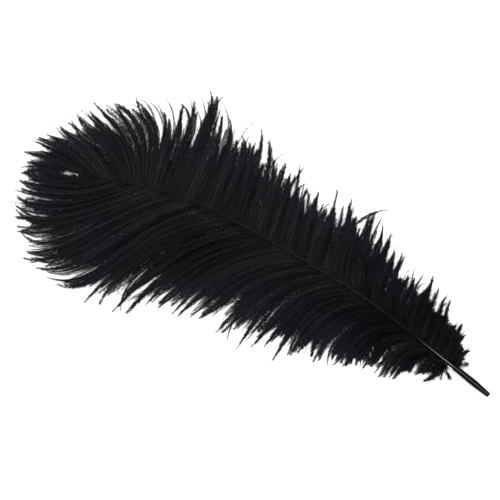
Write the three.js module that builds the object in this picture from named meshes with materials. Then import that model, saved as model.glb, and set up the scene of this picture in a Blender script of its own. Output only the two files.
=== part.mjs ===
// A dyed ostrich plume, lying on a table: one shaft with a soft vane of barbs on either side.
// Millimetres, +Z up. +X runs towards the quill, and the table is z = 0. Each vane is a thin arched
// shell that leaves the shaft at its own height, droops to the table and lies flat there, with an
// edge of pointed locks and notches.

import * as THREE from "three";

// ---------------------------------------------------------------- driving dimensions
const QUILL_DIAMETER = 5.5;
const QUILL_END_DIAMETER = 4.0; // at the blunt cut end
const QUILL_NECK_DIAMETER = 4.8; // beside the shoulder
const SHOULDER_WIDTH = 3.4; // where the round quill becomes the shaft
const SHAFT_TIP_WIDTH = 0.8;
const SHAFT_TAPER_POWER = 0.95; // how evenly the shaft narrows from the shoulder to its tip
const SHAFT_DEPTH_SHARE = 0.8; // depth over width, past the shoulder
const GROOVE_DEPTH = 0.3; // along the top of the shaft
const SHAFT_STEPS = 56;
const SHAFT_SIDES = 12;
const SHAFT_SAMPLES = 400; // points that the centreline is looked up in

const GAP = 0.35; // between the shaft and the edge of a vane
const VANE_STEPS = 7; // along a barb, from the shaft to the edge
const ROOT_THICKNESS = 3.2;
const TIP_THICKNESS = 1.5;
const DROOP_FROM = 0.04; // share of a barb's length where it starts to droop
const FLAT_FROM = 0.58; // share of a barb's length past which the vane lies on the table
const TIP_NARROWING = 0.4; // the vane gets thinner by this share where the shaft thins out
const NARROWING_X = -60; // where that starts
const BARB_PULL = 0.36; // how long a barb keeps its first and its last heading

// The shaft's centreline: [x, y, z]. The quill's end rests on the table and the middle arches over it.
const SHAFT_LINE = [
  [221, -28.3, 2.05],
  [205, -23.9, 3.0],
  [187, -19.2, 4.1],
  [170, -15, 5.4],
  [150, -9.8, 7],
  [120, -2.5, 9.2],
  [85, 4.6, 10.8],
  [50, 8.8, 11.6],
  [20, 12.2, 11.8],
  [-20, 15.7, 11.4],
  [-55, 17, 10.3],
  [-85, 14.2, 8.6],
  [-115, 8.4, 6.4],
  [-140, 1.5, 4.4],
];
const QUILL_END_X = 221;
const QUILL_FULL_X = 206; // the quill is widest here
const SHOULDER_X = 187;
const SHOULDER_SPAN = [-4, 10]; // the round section turns into the grooved one over this stretch
const SHAFT_TIP_X = -140;

// Where each lock of barbs leaves the shaft (x) and where its point lies (x, y), from the quill to
// the plume's tip. The last number is the notch after it: the share of the barb's length left open.
const LEFT_LOCKS = [
  [185.5, 191, -11, 0.3],
  [184, 190, -3, 0.25],
  [181.5, 184.5, 2, 0.2],
  [178, 180, 9, 0.25],
  [174, 176, 13, 0.2],
  [169, 169, 12, 0.15],
  [163.5, 163, 18, 0.2],
  [158, 157, 18, 0.25],
  [152, 149, 19, 0.2],
  [146, 142, 32, 0.35],
  [140, 135, 27, 0.25],
  [134, 130, 31, 0.25],
  [128, 122, 32, 0.25],
  [121, 113, 38, 0.2],
  [114, 107, 44, 0.2],
  [107, 99, 51, 0.3],
  [99, 91, 53, 0.3],
  [90, 78, 62, 0.3],
  [79, 66, 60, 0.2],
  [71, 60, 58, 0.25],
  [62, 55, 56, 0.25],
  [54, 47, 60, 0.2],
  [46, 40, 54, 0.15],
  [38, 33, 59, 0.2],
  [28, 20, 60, 0.2],
  [17, 10, 69, 0.2],
  [8, 3, 65, 0.25],
  [0, -4, 60, 0.25],
  [-8, -13, 61, 0.25],
  [-16, -22, 64, 0.2],
  [-24, -31, 76, 0.2],
  [-33, -41, 78, 0.15],
  [-41, -50, 80, 0.2],
  [-48, -57, 84, 0.2],
  [-56, -71, 94, 0.3],
  [-64, -78, 88, 0.3],
  [-72, -88, 85, 0.25],
  [-79, -95, 84, 0.3],
  [-86, -103, 73, 0.25],
  [-94, -128, 69, 0.3],
  [-101, -143, 60, 0.3],
  [-107, -157, 54, 0.3],
  [-113, -164, 47, 0.25],
  [-119, -168, 39, 0.2],
  [-125, -176, 30, 0.25],
  [-131, -177, 20, 0.2],
  [-135, -189, 12, 0.25],
  [-138, -187, 6, 0.3],
];
const RIGHT_LOCKS = [
  [184, 175, -33, 0.2],
  [178, 165, -33, 0.1],
  [173, 157, -35, 0.1],
  [168, 148, -42, 0.2],
  [163, 142, -43, 0.2],
  [158, 136, -46, 0.2],
  [152, 129, -45, 0.1],
  [146, 120, -46, 0.05],
  [140, 111, -49, 0.05],
  [134, 103, -51, 0.1],
  [128, 92, -55, 0.15],
  [120, 80, -54, 0.25],
  [112, 70, -52, 0.25],
  [104, 62, -55, 0.25],
  [96, 54, -59, 0.25],
  [88, 44, -57, 0.3],
  [80, 33, -62, 0.3],
  [72, 24, -64, 0.3],
  [60, 5, -63, 0.35],
  [47, -12, -60, 0.25],
  [38, -26, -63, 0.2],
  [29, -36, -61, 0.15],
  [20, -47, -59, 0.15],
  [11, -57, -67, 0.2],
  [2, -68, -72, 0.25],
  [-6, -78, -78, 0.25],
  [-14, -89, -74, 0.2],
  [-22, -99, -75, 0.2],
  [-30, -109, -79, 0.2],
  [-38, -119, -83, 0.2],
  [-46, -130, -84, 0.25],
  [-54, -138, -78, 0.2],
  [-62, -150, -77, 0.15],
  [-69, -160, -77, 0.2],
  [-76, -167, -69, 0.2],
  [-83, -173, -59, 0.25],
  [-90, -178, -50, 0.15],
  [-97, -184, -45, 0.15],
  [-104, -188, -39, 0.2],
  [-111, -188, -31, 0.15],
  [-118, -190, -24, 0.2],
  [-124, -189, -18, 0.25],
  [-130, -187, -8, 0.25],
  [-135, -192, -2, 0.3],
];

// The way the barbs point, in degrees from +X, where they leave the shaft at x and at their tips.
const LEFT_HEADINGS = [
  [188, 50, -10],
  [183, 75, 25],
  [176, 88, 60],
  [165, 95, 62],
  [150, 104, 70],
  [138, 116, 88],
  [105, 120, 95],
  [85, 112, 92],
  [60, 100, 92],
  [0, 95, 98],
  [-60, 97, 110],
  [-82, 100, 104],
  [-94, 104, 150],
  [-120, 121, 160],
  [-140, 150, 176],
];
const RIGHT_HEADINGS = [
  [186, 232, 285],
  [176, 214, 262],
  [165, 200, 262],
  [150, 192, 272],
  [130, 190, 280],
  [110, 196, 258],
  [80, 203, 240],
  [15, 212, 240],
  [-30, 214, 236],
  [-60, 217, 214],
  [-80, 221, 203],
  [-110, 230, 188],
  [-138, 208, 180],
];

// ---------------------------------------------------------------- helpers
const shaftCurve = new THREE.CatmullRomCurve3(
  SHAFT_LINE.map((point) => new THREE.Vector3(...point)),
  false,
  "catmullrom",
  0.5,
);
const SHAFT_TABLE = shaftCurve.getPoints(SHAFT_SAMPLES);

const mix = THREE.MathUtils.lerp;
const smooth = THREE.MathUtils.smoothstep;

// The value at x in rows of [x, ...values] that run from a high x to a low one.
function interpolate(rows, x, column) {
  const after = rows.findIndex((row) => row[0] <= x);
  if (after === 0) return rows[0][column];
  if (after < 0) return rows.at(-1)[column];
  const [high, low] = [rows[after - 1], rows[after]];
  return mix(low[column], high[column], (x - low[0]) / (high[0] - low[0]));
}

// The shaft's centre at x, with its direction towards the plume's tip seen from above.
function shaftAt(x) {
  const after = SHAFT_TABLE.findIndex((point) => point.x <= x);
  const index = THREE.MathUtils.clamp(after, 1, SHAFT_TABLE.length - 1);
  const [high, low] = [SHAFT_TABLE[index - 1], SHAFT_TABLE[index]];
  const share = THREE.MathUtils.clamp((high.x - x) / (high.x - low.x), 0, 1);
  const direction = low.clone().sub(high).setZ(0).normalize();
  return { centre: high.clone().lerp(low, share), direction };
}

// The shaft's width at x: a round quill that swells from its cut end and narrows to a neck, a step
// down at the shoulder, then a long taper.
function shaftWidth(x) {
  if (x > QUILL_FULL_X) {
    return mix(QUILL_DIAMETER, QUILL_END_DIAMETER, smooth(x, QUILL_FULL_X, QUILL_END_X));
  }
  if (x > SHOULDER_X) {
    return mix(QUILL_NECK_DIAMETER, QUILL_DIAMETER, smooth(x, SHOULDER_X, QUILL_FULL_X));
  }
  const share = (SHOULDER_X - x) / (SHOULDER_X - SHAFT_TIP_X);
  return mix(SHOULDER_WIDTH, SHAFT_TIP_WIDTH, Math.pow(share, SHAFT_TAPER_POWER));
}

// A closed body from rings of points that all have the same count. Each end cap is a strip between the
// first half of the ring and the second half, which run side by side.
function loft(rings) {
  const count = rings[0].length;
  const positions = rings.flat().flatMap((point) => point.toArray());
  const index = [];
  for (let ring = 0; ring < rings.length - 1; ring += 1) {
    for (let side = 0; side < count; side += 1) {
      const next = (side + 1) % count;
      const [a, b] = [ring * count + side, ring * count + next];
      index.push(a, b, b + count, a, b + count, a + count);
    }
  }
  const last = (rings.length - 1) * count;
  for (let side = 0; side < count / 2 - 1; side += 1) {
    const [a, b, c, d] = [side, side + 1, count - 2 - side, count - 1 - side];
    index.push(a, c, b, a, d, c);
    index.push(last + a, last + b, last + c, last + a, last + c, last + d);
  }
  const geometry = new THREE.BufferGeometry();
  geometry.setAttribute("position", new THREE.Float32BufferAttribute(positions, 3));
  geometry.setIndex(index);
  geometry.computeVertexNormals();
  return geometry;
}

// ---------------------------------------------------------------- shaft
// A ring of the shaft at one place on its centreline: round on the quill, then lower than wide, with
// the groove pressed into its top.
function shaftRing(share) {
  const centre = shaftCurve.getPointAt(share);
  const tangent = shaftCurve.getTangentAt(share);
  const side = new THREE.Vector3(0, 0, 1).cross(tangent).normalize();
  const up = tangent.clone().cross(side);
  const width = shaftWidth(centre.x);
  const pastShoulder = smooth(SHOULDER_X - centre.x, ...SHOULDER_SPAN);
  const depth = width * mix(1, SHAFT_DEPTH_SHARE, pastShoulder);
  const groove = GROOVE_DEPTH * pastShoulder * (width / SHOULDER_WIDTH);
  return Array.from({ length: SHAFT_SIDES }, (_, index) => {
    const angle = (2 * Math.PI * index) / SHAFT_SIDES;
    const isTop = index === SHAFT_SIDES / 4;
    return centre
      .clone()
      .addScaledVector(side, (width / 2) * Math.cos(angle))
      .addScaledVector(up, (depth / 2) * Math.sin(angle) - (isTop ? groove : 0));
  });
}

function shaftGeometry() {
  return loft(Array.from({ length: SHAFT_STEPS + 1 }, (_, step) => shaftRing(step / SHAFT_STEPS)));
}

// ---------------------------------------------------------------- vanes
const headingVector = (degrees) => {
  const angle = THREE.MathUtils.degToRad(degrees);
  return new THREE.Vector3(Math.cos(angle), Math.sin(angle), 0);
};

// One barb seen from above: it leaves the shaft's side on one heading and ends at its tip on another.
function barbCurve(rootX, tip, headings, sideSign) {
  const { centre, direction } = shaftAt(rootX);
  const outward = new THREE.Vector3(direction.y, -direction.x, 0).multiplyScalar(sideSign);
  const offset = shaftWidth(rootX) / 2 + GAP;
  const root = centre.clone().setZ(0).addScaledVector(outward, offset);
  const reach = BARB_PULL * root.distanceTo(tip);
  const leaving = headingVector(interpolate(headings, rootX, 1));
  const arriving = headingVector(interpolate(headings, rootX, 2));
  return new THREE.CubicBezierCurve3(
    root,
    root.clone().addScaledVector(leaving, reach),
    tip.clone().addScaledVector(arriving, -reach),
    tip,
  );
}

// The barbs that a vane is lofted over: one to each lock's point, and a shorter one to each notch.
function vaneBarbs(locks, headings, sideSign) {
  const barbs = [];
  locks.forEach(([rootX, tipX, tipY, notch], index) => {
    const tip = new THREE.Vector3(tipX, tipY, 0);
    barbs.push({ rootX, reach: 1, curve: barbCurve(rootX, tip, headings, sideSign) });
    if (index === locks.length - 1) return;
    const [nextRootX, nextTipX, nextTipY] = locks[index + 1];
    const betweenX = (rootX + nextRootX) / 2;
    const between = new THREE.Vector3((tipX + nextTipX) / 2, (tipY + nextTipY) / 2, 0);
    const curve = barbCurve(betweenX, between, headings, sideSign);
    barbs.push({ rootX: betweenX, reach: 1 - notch, curve });
  });
  return barbs;
}

// The vane's section along a barb: an under side that falls from the shaft's height to the table, and
// a top that stands a thickness above it.
function vaneRow(barb) {
  const { centre } = shaftAt(barb.rootX);
  const thinness = 1 - TIP_NARROWING * smooth(-barb.rootX, -NARROWING_X, -SHAFT_TIP_X);
  const under = [];
  const top = [];
  for (let step = 0; step <= VANE_STEPS; step += 1) {
    const share = step / VANE_STEPS;
    const along = share * barb.reach;
    const point = barb.curve.getPoint(along);
    const thickness = thinness * mix(ROOT_THICKNESS, TIP_THICKNESS, along);
    const height = Math.max(centre.z - thickness / 2, 0);
    const underZ = height * (1 - smooth(along, DROOP_FROM, FLAT_FROM));
    under.push(point.clone().setZ(underZ));
    top.push(point.clone().setZ(underZ + thickness));
  }
  return [...under, ...top.reverse()];
}

function vaneGeometry(locks, headings, sideSign) {
  const rows = vaneBarbs(locks, headings, sideSign).map(vaneRow);
  return loft(sideSign > 0 ? rows.reverse() : rows);
}

// ---------------------------------------------------------------- assembly
const keratin = new THREE.MeshStandardMaterial({ color: 0x17161a, roughness: 0.35, metalness: 0 });
const barbs = new THREE.MeshStandardMaterial({ color: 0x151517, roughness: 0.9, metalness: 0 });

function namedMesh(name, geometry, material) {
  const mesh = new THREE.Mesh(geometry, material);
  mesh.name = name;
  return mesh;
}

const feather = new THREE.Group();
feather.add(
  namedMesh("shaft", shaftGeometry(), keratin),
  namedMesh("vane_left", vaneGeometry(LEFT_LOCKS, LEFT_HEADINGS, 1), barbs),
  namedMesh("vane_right", vaneGeometry(RIGHT_LOCKS, RIGHT_HEADINGS, -1), barbs),
);

// The origin is the middle of the plume's footprint, on the table.
const box = new THREE.Box3().setFromObject(feather, true);
const middle = box.getCenter(new THREE.Vector3());
feather.position.set(-middle.x, -middle.y, -box.min.z);

export default feather;
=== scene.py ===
"""A black-dyed ostrich plume lying on a pale floor.

The plume is combed barb by barb. Each side of the shaft is a Vane whose barbs leave the shaft, sweep
along their own curves and gather into locks at the edge. Every barb carries two rows of barbules, the
fine hairs that make the plume fluffy. All lengths are in millimetres in the plume's own drawing frame
until a mesh is made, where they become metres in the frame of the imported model.
"""

from __future__ import annotations

import logging
import math
from dataclasses import dataclass, field, fields
from enum import Enum

import bpy
import numpy as np
from bpy.types import Material, Node, NodeSocket, NodeTree, Object
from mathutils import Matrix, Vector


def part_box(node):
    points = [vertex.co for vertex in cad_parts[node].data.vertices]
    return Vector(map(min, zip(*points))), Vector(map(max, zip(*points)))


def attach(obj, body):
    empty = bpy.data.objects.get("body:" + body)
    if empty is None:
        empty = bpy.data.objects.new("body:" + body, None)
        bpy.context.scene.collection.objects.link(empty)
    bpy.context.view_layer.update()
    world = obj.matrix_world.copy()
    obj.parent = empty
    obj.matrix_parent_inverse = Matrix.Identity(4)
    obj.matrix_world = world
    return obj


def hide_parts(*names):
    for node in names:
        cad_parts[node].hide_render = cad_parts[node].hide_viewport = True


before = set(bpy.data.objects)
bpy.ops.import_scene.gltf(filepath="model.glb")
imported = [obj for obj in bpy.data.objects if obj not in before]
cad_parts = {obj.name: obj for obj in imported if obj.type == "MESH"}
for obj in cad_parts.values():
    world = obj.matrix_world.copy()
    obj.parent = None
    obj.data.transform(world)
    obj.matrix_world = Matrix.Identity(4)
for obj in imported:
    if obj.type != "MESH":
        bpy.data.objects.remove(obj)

LOG = logging.getLogger("plume")
MM = 0.001
SEED = 20
GOLDEN_SHARE = 0.618034
BARBULE_ROWS = 2
KERATIN_IOR = 1.54
TOP_U = 0.25  # where the top of the shaft lies on its UV map
WAVE_BAND = 0.314  # the width of one band of a wave texture at scale 1
FADED_LOCK = (8.0, -60.0, 2.0)  # the lock whose ends have faded, in the drawing frame

Array = np.ndarray
Pair = tuple[float, float]
Triple = tuple[float, float, float]
Colour = tuple[float, float, float, float]


class Side(Enum):
    """Which side of the shaft a vane grows on, as the sign of its outward direction."""

    LEFT = 1
    RIGHT = -1


# ------------------------------------------------------------------------------------ small helpers
def linear(hex_colour: str) -> Colour:
    """Turns an sRGB hex colour into linear red, green, blue and alpha.

    Args:
        hex_colour: six hex digits after a hash, such as "#1a1a1c".

    Returns:
        The linear colour, with alpha 1.
    """
    channels = [int(hex_colour[place : place + 2], 16) / 255 for place in (1, 3, 5)]
    low = [value / 12.92 for value in channels]
    high = [((value + 0.055) / 1.055) ** 2.4 for value in channels]
    red, green, blue = [a if value <= 0.04045 else b for value, a, b in zip(channels, low, high)]
    return red, green, blue, 1.0


def smoothstep(values: Array, start: float, end: float) -> Array:
    """Rises from 0 to 1 along 3t^2 - 2t^3.

    Args:
        values: where the curve is read.
        start: the value up to which it is 0.
        end: the value from which it is 1.

    Returns:
        The curve's height at each value.
    """
    share = np.clip((values - start) / (end - start), 0, 1)
    return share * share * (3 - 2 * share)


def unit(vectors: Array) -> Array:
    """Scales each vector on the last axis to length 1."""
    return vectors / np.maximum(np.linalg.norm(vectors, axis=-1, keepdims=True), 1e-9)


def heading(degrees: Array) -> Array:
    """Gives the flat unit vector that points at an angle from +X."""
    angle = np.radians(degrees)
    return np.stack([np.cos(angle), np.sin(angle)], axis=-1)


def table_at(rows: Array, x: Array, column: int) -> Array:
    """Reads a column of a table, with straight lines between its rows.

    Args:
        rows: the table, sorted from high x to low x, with x in its first column.
        x: where the column is read.
        column: the column's number.

    Returns:
        The column's value at each x.
    """
    return np.interp(x, rows[::-1, 0], rows[::-1, column])


def bezier(corners: tuple[Array, Array, Array, Array], along: Array) -> Array:
    """Works out points on many cubic Bezier curves at once.

    The formula is the usual one: the four control points weighted by (1-t)^3, 3t(1-t)^2, 3t^2(1-t)
    and t^3.

    Args:
        corners: four arrays of control points, one row to a curve.
        along: t for each curve and step.

    Returns:
        An array of curves by steps by two coordinates.
    """
    t = along[..., None]
    first, second, third, fourth = [corner[:, None, :] for corner in corners]
    rest = 1 - t
    return rest**3 * first + 3 * t * rest**2 * second + 3 * t**2 * rest * third + t**3 * fourth


# ------------------------------------------------------------------------------------ material nodes
def add_node(tree: NodeTree, kind: str, inputs: dict | None = None, **settings) -> Node:
    """Adds one node with its settings, its constants and its links.

    Args:
        tree: the node tree that gets the node.
        kind: the node's Blender type name.
        inputs: socket name or number to a constant, or to the output socket that feeds it.
        settings: the node's own properties.

    Returns:
        The new node.
    """
    node = tree.nodes.new(kind)
    for name, value in settings.items():
        setattr(node, name, value)
    for name, value in (inputs or {}).items():
        if isinstance(value, NodeSocket):
            tree.links.new(value, node.inputs[name])
        else:
            node.inputs[name].default_value = value
    return node


def new_material(name: str) -> tuple[Material, NodeTree]:
    """Makes an empty node material and gives it back with its node tree."""
    material = bpy.data.materials.new(name)
    material.use_nodes = True
    material.node_tree.nodes.clear()
    return material, material.node_tree


def finish_material(tree: NodeTree, inputs: dict) -> None:
    """Adds the surface shader with its inputs and links it to a new material output."""
    shader = add_node(tree, "ShaderNodeBsdfPrincipled", inputs)
    add_node(tree, "ShaderNodeOutputMaterial", {"Surface": shader.outputs[0]})


def ramp(tree: NodeTree, value: NodeSocket, between: Pair, gives: Pair, smooth: bool = True) -> NodeSocket:
    """Adds a ramp that follows a value between two limits and stays level outside them.

    Args:
        tree: the material's node tree.
        value: the socket that is read.
        between: the two limits, the lower one first.
        gives: what the ramp gives at each limit.
        smooth: whether the ramp eases in and out instead of running straight.

    Returns:
        The ramp's output socket.
    """
    kind = "SMOOTHSTEP" if smooth else "LINEAR"
    inputs = dict(enumerate((value, *between, *gives)))
    return add_node(tree, "ShaderNodeMapRange", inputs, interpolation_type=kind).outputs[0]


def mixed(
    tree: NodeTree, share: NodeSocket, first: NodeSocket | Colour, second: NodeSocket | Colour
) -> NodeSocket:
    """Adds a mix of two colours.

    Args:
        tree: the material's node tree.
        share: the share of the second colour.
        first: the first colour.
        second: the second colour.

    Returns:
        The mixed colour's socket.
    """
    return add_node(tree, "ShaderNodeMix", {0: share, 6: first, 7: second}, data_type="RGBA").outputs[2]


def maths(tree: NodeTree, operation: str, *values: NodeSocket | float, **settings) -> NodeSocket:
    """Adds a maths node that works on one or two values."""
    inputs = dict(enumerate(values))
    return add_node(tree, "ShaderNodeMath", inputs, operation=operation, **settings).outputs[0]


def noise(tree: NodeTree, place: NodeSocket, scale: float, detail: float = 2.0) -> NodeSocket:
    """Adds cloudy noise.

    Args:
        tree: the material's node tree.
        place: where the noise is read.
        scale: how many clouds there are to a unit of length.
        detail: how many finer layers are added.

    Returns:
        The socket of the noise's strength, from 0 to 1.
    """
    inputs = {"Vector": place, "Scale": scale, "Detail": detail}
    return add_node(tree, "ShaderNodeTexNoise", inputs).outputs[0]


# ------------------------------------------------------------------------------------ the shaft's line
@dataclass
class ShaftLine:
    """The shaft's centreline, which every barb is rooted on.

    The curve is a uniform Catmull-Rom spline through a few points chosen along the shaft: between
    two points it is a cubic whose slopes are half the chord of their neighbours.
    """

    points: tuple[Triple, ...] = (
        (221, -28.3, 2.05),
        (205, -23.9, 3.0),
        (187, -19.2, 4.1),
        (170, -15, 5.4),
        (150, -9.8, 7),
        (120, -2.5, 9.2),
        (85, 4.6, 10.8),
        (50, 8.8, 11.6),
        (20, 12.2, 11.8),
        (-20, 15.7, 11.4),
        (-55, 17, 10.3),
        (-85, 14.2, 8.6),
        (-115, 8.4, 6.4),
        (-140, 1.5, 4.4),
    )
    steps_between: int = 40
    end_x: float = 221.0
    full_x: float = 206.0
    shoulder_x: float = 187.0
    tip_x: float = -140.0
    quill_width: float = 5.5
    quill_end_width: float = 4.0
    neck_width: float = 4.8
    shoulder_width: float = 3.4
    tip_width: float = 0.8
    taper_power: float = 0.95
    depth_share: float = 0.8
    path: Array = field(init=False)

    def __post_init__(self) -> None:
        """Works out the dense path once."""
        control = np.array(self.points, float)
        first = 2 * control[0] - control[1]
        last = 2 * control[-1] - control[-2]
        control = np.vstack([first, control, last])
        t = np.linspace(0, 1, self.steps_between, endpoint=False)[None, :, None]
        before, start, end, after = (control[k : len(control) - 3 + k, None, :] for k in range(4))
        spans = 0.5 * (
            2 * start
            + (end - before) * t
            + (2 * before - 5 * start + 4 * end - after) * t**2
            + (3 * start - before - 3 * end + after) * t**3
        )
        self.path = np.vstack([spans.reshape(-1, 3), control[-2]])

    def centre(self, x: Array) -> Array:
        """Gives the centreline's point at each x."""
        return np.stack([x, table_at(self.path, x, 1), table_at(self.path, x, 2)], -1)

    def direction(self, x: Array) -> Array:
        """Gives the flat direction towards the plume's tip at each x, over a millimetre of the line."""
        reach = 0.5
        return unit((self.centre(x - reach) - self.centre(x + reach))[..., :2])

    def width(self, x: Array) -> Array:
        """Gives the width at x: a swelling round quill, its neck, a shoulder, then a long taper."""
        to_end = smoothstep(x, self.full_x, self.end_x)
        to_neck = 1 - smoothstep(x, self.shoulder_x, self.full_x)
        quill = self.quill_width + (self.quill_end_width - self.quill_width) * to_end
        quill += (self.neck_width - self.quill_width) * to_neck
        share = np.clip((self.shoulder_x - x) / (self.shoulder_x - self.tip_x), 0, 1)
        rachis = self.shoulder_width + (self.tip_width - self.shoulder_width) * share**self.taper_power
        return np.where(x > self.shoulder_x, quill, rachis)


# ------------------------------------------------------------------------------------ meshes
@dataclass
class PieceMaker:
    """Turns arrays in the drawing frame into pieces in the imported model's frame."""

    shift: Array

    def make(
        self,
        name: str,
        points: Array,
        faces: list[Array],
        attributes: dict[str, Array],
        uv: Array | None = None,
        smooth: bool = True,
    ) -> Object:
        """Makes one mesh object.

        Args:
            name: the piece's name.
            points: vertices in millimetres in the drawing frame.
            faces: arrays of vertex numbers, each with one width, such as quads and triangles.
            attributes: a number for each vertex, by attribute name.
            uv: a pair for each vertex, or None for a mesh without a UV map.
            smooth: whether faces are shaded smooth.

        Returns:
            The object, linked to the scene, at the origin.
        """
        mesh = bpy.data.meshes.new(name)
        corners = np.concatenate([block.ravel() for block in faces]).astype(np.int32)
        sizes = np.concatenate([np.full(len(block), block.shape[1]) for block in faces])
        starts = np.concatenate([[0], np.cumsum(sizes)[:-1]]).astype(np.int32)
        mesh.vertices.add(len(points))
        mesh.vertices.foreach_set("co", ((points + self.shift) * MM).astype(np.float32).ravel())
        mesh.loops.add(len(corners))
        mesh.loops.foreach_set("vertex_index", corners)
        mesh.polygons.add(len(sizes))
        mesh.polygons.foreach_set("loop_start", starts)
        mesh.polygons.foreach_set("use_smooth", np.full(len(sizes), smooth))
        for label, values in attributes.items():
            layer = mesh.attributes.new(label, "FLOAT", "POINT")
            layer.data.foreach_set("value", values.astype(np.float32).ravel())
        if uv is not None:
            layer = mesh.uv_layers.new(name="UVMap")
            layer.data.foreach_set("uv", uv[corners].astype(np.float32).ravel())
        mesh.update(calc_edges=True)
        piece = bpy.data.objects.new(name, mesh)
        bpy.context.scene.collection.objects.link(piece)
        LOG.info("%s: %d vertices, %d faces", name, len(points), len(sizes))
        return piece


# ------------------------------------------------------------------------------------ finishes
@dataclass(frozen=True)
class DyedQuillKeratin:
    """Black-dyed quill keratin: smooth, hard and a little glossy, like thin horn.

    The eye gets a dark glossy quill with one thin painted grey highlight along its top and faint
    growth rings, then a duller shaft with a dark line of painted shade in its groove, to the right
    of its top. A pale line runs along the top past the shoulder. Beyond that line the shaft gets
    lighter.
    """

    dark: str = "#060607"
    light: str = "#0c0b0d"
    ridge: str = "#121213"
    # painted shade: the near-black line laid in the shaft's groove
    groove: str = "#030303"
    # painted highlight: a grey line along the top of the quill, in place of the light's reflection
    painted_highlight: str = "#4a484e"
    pale: str = "#989093"
    specular: float = 0.03
    quill_roughness: float = 0.3
    shaft_roughness: float = 0.75
    streak_scale: Triple = (24.0, 60.0, 1.0)
    growth_ring_mm: float = 1.4
    grain_scale: float = 2500.0
    relief_metres: float = 0.00006
    relief_strength: float = 0.35
    shoulder_mm: float = 36.5
    paint_blend_mm: Pair = (-0.5, 1.0)
    roughness_blend_mm: Pair = (-3.0, 8.0)
    pale_full_mm: float = 6.0
    pale_length_mm: float = 40.0
    ridge_blend_mm: float = 70.0
    pale_half_width: float = 0.021
    groove_shade_half_width: float = 0.1
    highlight_half_width: float = 0.03
    groove_aside: float = 0.17

    def material(self) -> Material:
        """Builds the material. It reads the piece's UV map: U is round the shaft, V is metres along it."""
        material, tree = new_material("dyed_quill_keratin")
        uv = add_node(tree, "ShaderNodeUVMap", uv_map="UVMap").outputs[0]
        place = add_node(tree, "ShaderNodeTexCoord").outputs["Object"]
        turn, along = add_node(tree, "ShaderNodeSeparateXYZ", {0: uv}).outputs[:2]
        streaks_at = add_node(tree, "ShaderNodeMapping", {"Vector": uv, "Scale": self.streak_scale})
        dye = mixed(
            tree, noise(tree, streaks_at.outputs[0], 1.0, 4.0), linear(self.dark), linear(self.light)
        )
        shoulder, pale_to = self.shoulder_mm * MM, (self.shoulder_mm + self.pale_length_mm) * MM
        painting, dulling = (
            tuple(shoulder + limit * MM for limit in limits)
            for limits in (self.paint_blend_mm, self.roughness_blend_mm)
        )
        on_shaft = ramp(tree, along, painting, (0.0, 1.0))
        on_quill = ramp(tree, along, painting, (1.0, 0.0))
        fading = ramp(tree, along, (shoulder + self.pale_full_mm * MM, pale_to), (1.0, 0.0))
        lightening = ramp(tree, along, (pale_to, pale_to + self.ridge_blend_mm * MM), (0.0, 1.0))
        colour = mixed(tree, lightening, dye, linear(self.ridge))
        # Lines painted round the shaft: painted shade in the groove, a painted highlight along the quill's
        # top, and the pale line along the shaft's top
        for middle, half_width, shares, tint in (
            (TOP_U - self.groove_aside, self.groove_shade_half_width, (on_shaft,), self.groove),
            (TOP_U, self.highlight_half_width, (on_quill,), self.painted_highlight),
            (TOP_U, self.pale_half_width, (on_shaft, fading), self.pale),
        ):
            distance = maths(tree, "ABSOLUTE", maths(tree, "SUBTRACT", turn, middle))
            mask = ramp(tree, distance, (0.0, half_width), (1.0, 0.0))
            for share in shares:
                mask = maths(tree, "MULTIPLY", mask, share)
            colour = mixed(tree, mask, colour, linear(tint))
        band_scale = WAVE_BAND / (self.growth_ring_mm * MM)
        bands = {"Vector": uv, "Scale": band_scale, "Distortion": 1.5, "Detail": 2.0}
        rings = add_node(tree, "ShaderNodeTexWave", bands, bands_direction="Y").outputs["Fac"]
        relief = maths(tree, "ADD", rings, noise(tree, place, self.grain_scale, 3.0))
        bump_inputs = {"Strength": self.relief_strength, "Distance": self.relief_metres, "Height": relief}
        finish_material(
            tree,
            {
                "Base Color": colour,
                "Roughness": ramp(tree, along, dulling, (self.quill_roughness, self.shaft_roughness)),
                "IOR": KERATIN_IOR,
                "Specular IOR Level": self.specular,
                "Normal": add_node(tree, "ShaderNodeBump", bump_inputs).outputs[0],
            },
        )
        return material


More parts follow.
